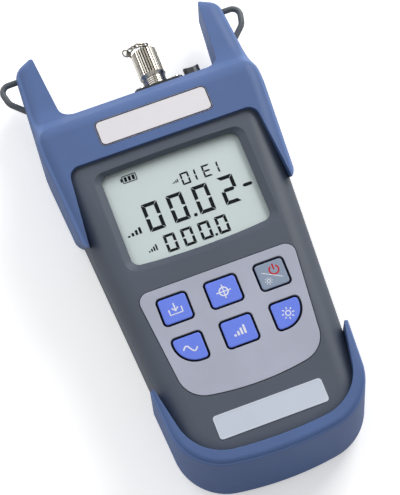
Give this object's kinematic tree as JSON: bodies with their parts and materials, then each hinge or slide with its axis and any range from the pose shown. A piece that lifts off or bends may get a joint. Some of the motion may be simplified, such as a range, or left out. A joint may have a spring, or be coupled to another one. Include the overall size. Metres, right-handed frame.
{
  "type": "optical power meter",
  "caption": "Handheld optical power meter with a display, keys, rubber guards with horns, lanyard loops and a fibre port under a knurled cap.",
  "frame": {"origin": "middle of the footprint on the surface that the back guards rest on", "axes": "+Z out of the front face, +Y along the length towards the fibre port, +X to the right seen from the front"},
  "size_m": [0.0932, 0.1732, 0.0331],
  "materials": {
    "case_grey": "fine moulded texture",
    "bumper_blue": "satin soft-touch",
    "loop_grey": "satin",
    "window_clear": "polished acrylic",
    "inner_black": "moulded",
    "lcd_glass": "matt polariser",
    "board_green": "solder mask",
    "panel_grey": "satin film",
    "mat_navy": "silicone",
    "key_blue": "satin",
    "key_power_grey": "satin",
    "dome_steel": "bright",
    "plate_white": "satin print film",
    "plate_pale": "satin print film",
    "flange_black": "moulded",
    "port_nickel": "nickel plate",
    "cap_nickel": "knurled nickel plate",
    "sleeve_ceramic": "polished zirconia",
    "diode_can": "bright",
    "screw_steel": "plated",
    "chain_steel": "bright",
    "lamp_black": "moulded",
    "lamp_clear": "clear epoxy",
    "cell_wrap": "printed film, plain",
    "spring_steel": "plated"
  },
  "bodies": {
    "meter": {"front_cover": "case_grey", "rear_cover": "case_grey", "top_bumper": "bumper_blue", "bottom_bumper": "bumper_blue", "lanyard_loop_left": "loop_grey", "lanyard_loop_right": "loop_grey", "display_window": "window_clear", "lcd_frame": "inner_black", "lcd_panel": "lcd_glass", "main_board": "board_green", "keypad_panel": "panel_grey", "keypad_mat": "mat_navy", "key_switches": "dome_steel", "title_plate": "plate_white", "name_plate": "plate_pale", "port_flange": "flange_black", "port_body": "port_nickel", "port_sleeve": "sleeve_ceramic", "port_lock_ring": "port_nickel", "photodiode": "diode_can", "port_screws": "screw_steel", "lamp_bezel": "lamp_black", "lamp_led": "lamp_clear", "battery_cell_1": "cell_wrap", "battery_cell_2": "cell_wrap", "battery_cell_3": "cell_wrap", "battery_springs": "spring_steel", "battery_contacts": "spring_steel", "case_screws": "screw_steel"},
    "cap_tether": {"cap_swivel": "chain_steel", "cap_chain": "chain_steel"},
    "dust_cap_body": {"dust_cap": "cap_nickel"},
    "battery_lid": {"battery_door": "case_grey"},
    "key_save_cap": {"key_save": "key_blue"},
    "key_reference_cap": {"key_reference": "key_blue"},
    "key_power_cap": {"key_power": "key_power_grey"},
    "key_wavelength_cap": {"key_wavelength": "key_blue"},
    "key_unit_cap": {"key_unit": "key_blue"},
    "key_lamp_cap": {"key_lamp": "key_blue"}
  },
  "joints": [
    {"name": "key_save_press", "type": "slide", "parent": "meter", "child": "key_save_cap", "axis": [0, 0, -1], "range_m": [0, 0.0008], "stiffness_N_per_m": 600},
    {"name": "key_reference_press", "type": "slide", "parent": "meter", "child": "key_reference_cap", "axis": [0, 0, -1], "range_m": [0, 0.0008], "stiffness_N_per_m": 600},
    {"name": "key_power_press", "type": "slide", "parent": "meter", "child": "key_power_cap", "axis": [0, 0, -1], "range_m": [0, 0.0008], "stiffness_N_per_m": 600},
    {"name": "key_wavelength_press", "type": "slide", "parent": "meter", "child": "key_wavelength_cap", "axis": [0, 0, -1], "range_m": [0, 0.0008], "stiffness_N_per_m": 600},
    {"name": "key_unit_press", "type": "slide", "parent": "meter", "child": "key_unit_cap", "axis": [0, 0, -1], "range_m": [0, 0.0008], "stiffness_N_per_m": 600},
    {"name": "key_lamp_press", "type": "slide", "parent": "meter", "child": "key_lamp_cap", "axis": [0, 0, -1], "range_m": [0, 0.0008], "stiffness_N_per_m": 600},
    {"name": "cap_travel", "type": "slide", "parent": "meter", "child": "cap_tether", "axis": [0, 1, 0], "range_m": [0, 0.0045], "deforming": ["cap_chain"]},
    {"name": "cap_turn", "type": "hinge", "parent": "cap_tether", "child": "dust_cap_body", "pos_m": [0.007, 0.07, 0.016], "axis": [0, 1, 0], "range_deg": [0, 2160]},
    {"name": "battery_door_hinge", "type": "hinge", "parent": "meter", "child": "battery_lid", "pos_m": [0, -0.061, 0.001], "axis": [-1, 0, 0], "range_deg": [0, 75]}
  ],
  "couplings": [
    {"joint": "cap_turn", "follows": "cap_travel", "rad_per_m": 8377.6}
  ]
}
